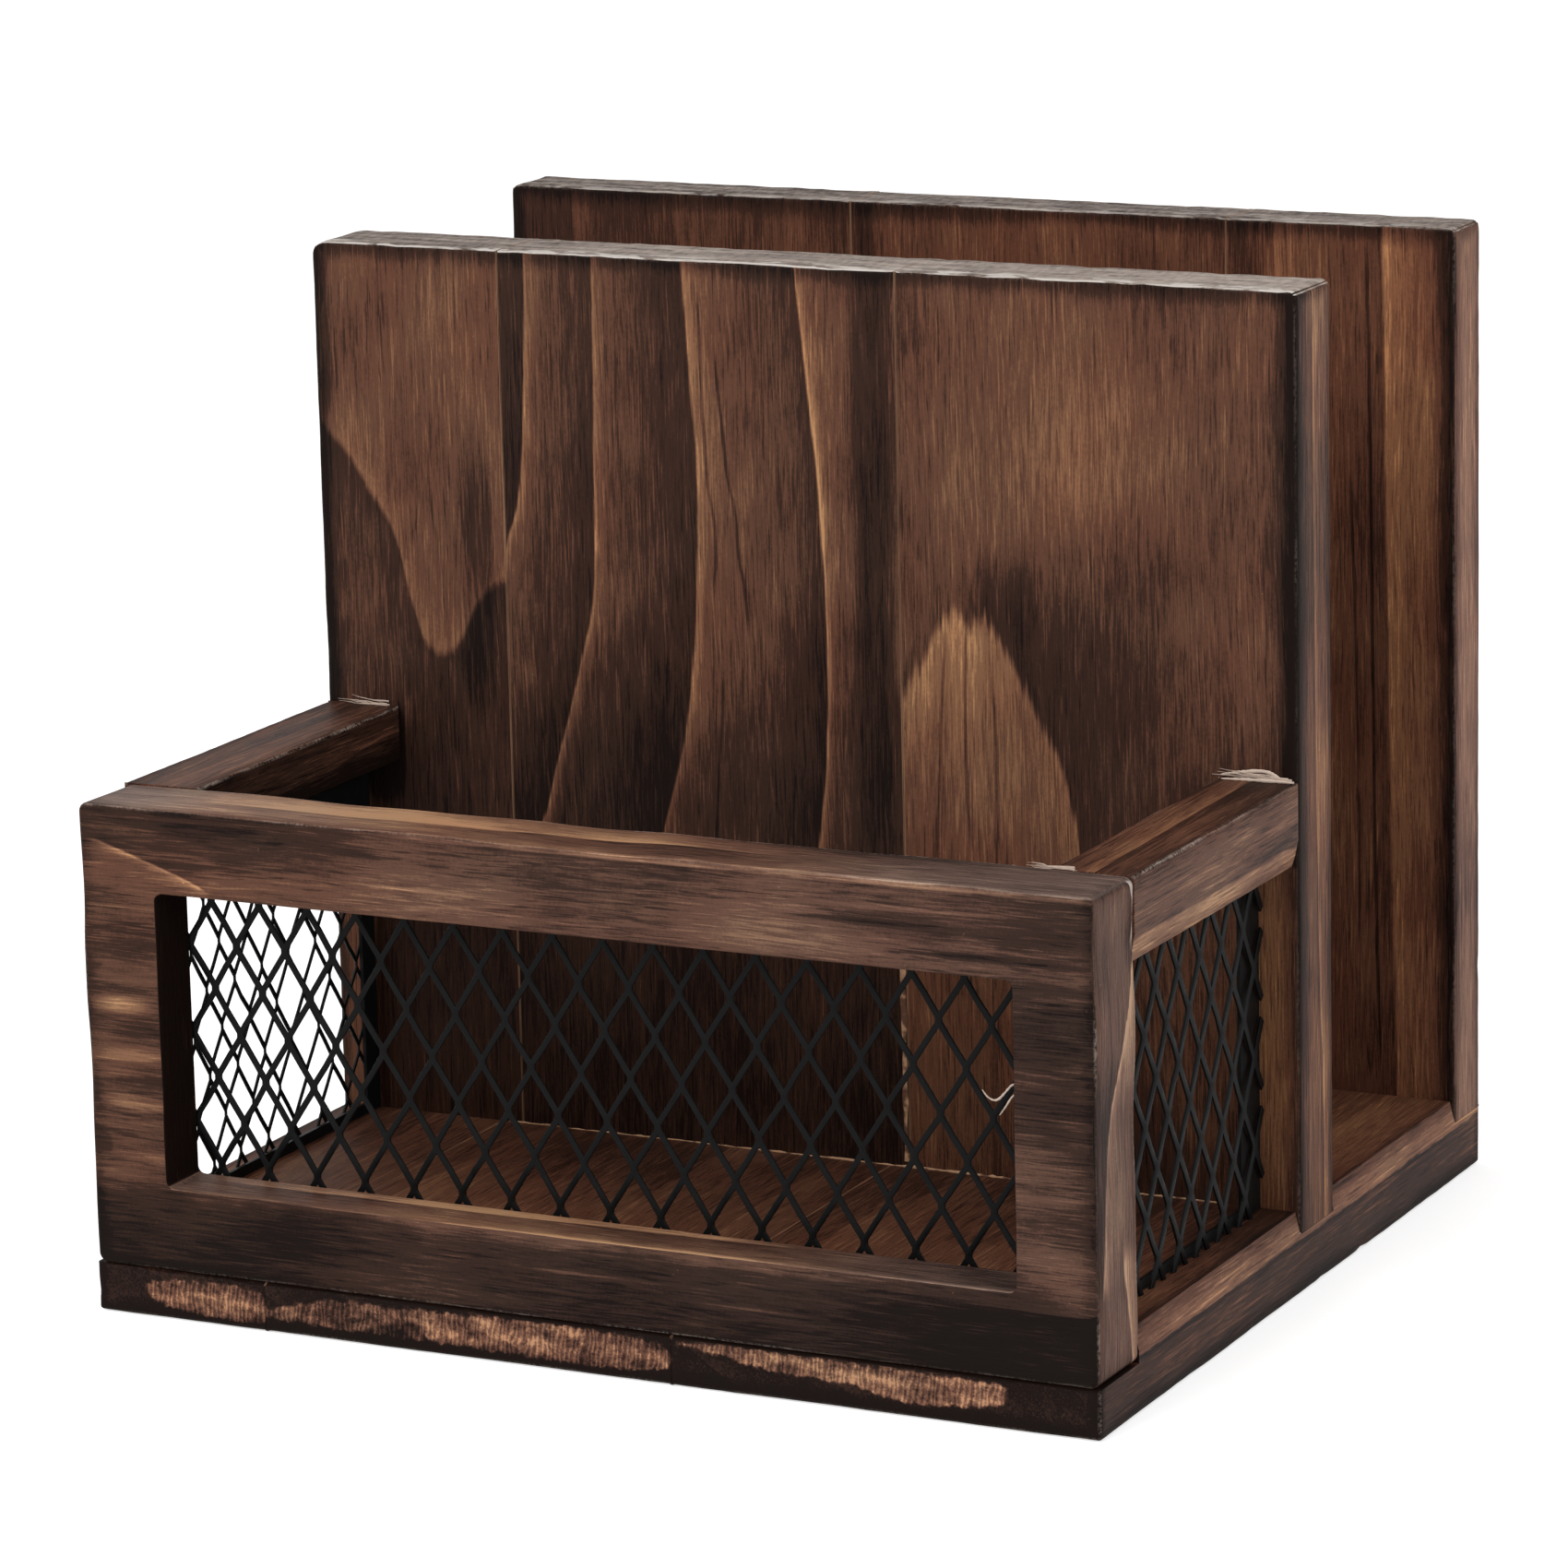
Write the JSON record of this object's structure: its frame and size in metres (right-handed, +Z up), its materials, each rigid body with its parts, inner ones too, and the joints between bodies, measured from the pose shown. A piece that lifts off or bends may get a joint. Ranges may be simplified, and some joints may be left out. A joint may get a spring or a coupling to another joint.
{
  "type": "tabletop napkin holder",
  "caption": "Torched pine napkin holder: upright slot between back panel and divider, with a low front basket that has black expanded-metal windows.",
  "frame": {"origin": "middle of the underside of the base", "axes": "+X is the width, to the right seen from the basket side; the basket faces -Y; +Z is up"},
  "size_m": [0.18, 0.1656, 0.166],
  "materials": {
    "base_pine": "torched pine, matt, with a thin dark stain",
    "divider_pine": "torched pine, matt, with a thin dark stain",
    "back_pine": "torched pine, matt, with a thin dark stain",
    "frame_pine": "torched pine, matt, with a thin dark stain",
    "rail_pine": "torched pine, matt, with a thin dark stain",
    "black_metal": "black paint, half gloss",
    "steel": "bright zinc"
  },
  "bodies": {
    "root": {"base_stave_left": "base_pine", "divider_stave_left": "divider_pine", "back_stave_left": "back_pine", "base_stave_centre": "base_pine", "divider_stave_centre": "divider_pine", "back_stave_centre": "back_pine", "base_stave_right": "base_pine", "divider_stave_right": "divider_pine", "back_stave_right": "back_pine", "front_frame": "frame_pine", "left_side_rail": "rail_pine", "right_side_rail": "rail_pine", "front_mesh": "black_metal", "left_mesh": "black_metal", "right_mesh": "black_metal", "left_mesh_edge": "black_metal", "right_mesh_edge": "black_metal", "panel_screws": "steel", "frame_screws": "steel", "rail_brads": "steel", "mesh_staples": "steel"}
  },
  "joints": []
}
